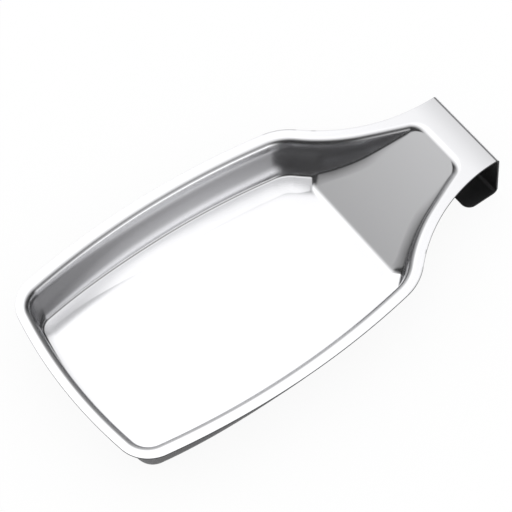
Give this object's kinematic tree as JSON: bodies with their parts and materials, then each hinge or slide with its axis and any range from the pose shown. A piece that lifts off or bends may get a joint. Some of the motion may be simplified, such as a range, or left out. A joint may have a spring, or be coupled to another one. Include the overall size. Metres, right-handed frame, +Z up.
{
  "type": "pill counting tray",
  "caption": "Shallow stainless counting tray: a flanged pan whose floor ramps up into a narrowing pouring neck, with a square hook folded under the end to hang it.",
  "frame": {"origin": "middle of the bounding box in plan, at the height of the hook's underside, the lowest face", "axes": "+X along the tray from its front edge to the hook, +Y across it, +Z up, square to the flange"},
  "size_m": [0.2408, 0.13, 0.0287],
  "materials": {
    "stainless_sheet": "satin rolled sheet, bright pressed edges"
  },
  "bodies": {
    "root": {"tray_pan": "stainless_sheet", "hanging_hook": "stainless_sheet"}
  },
  "joints": []
}
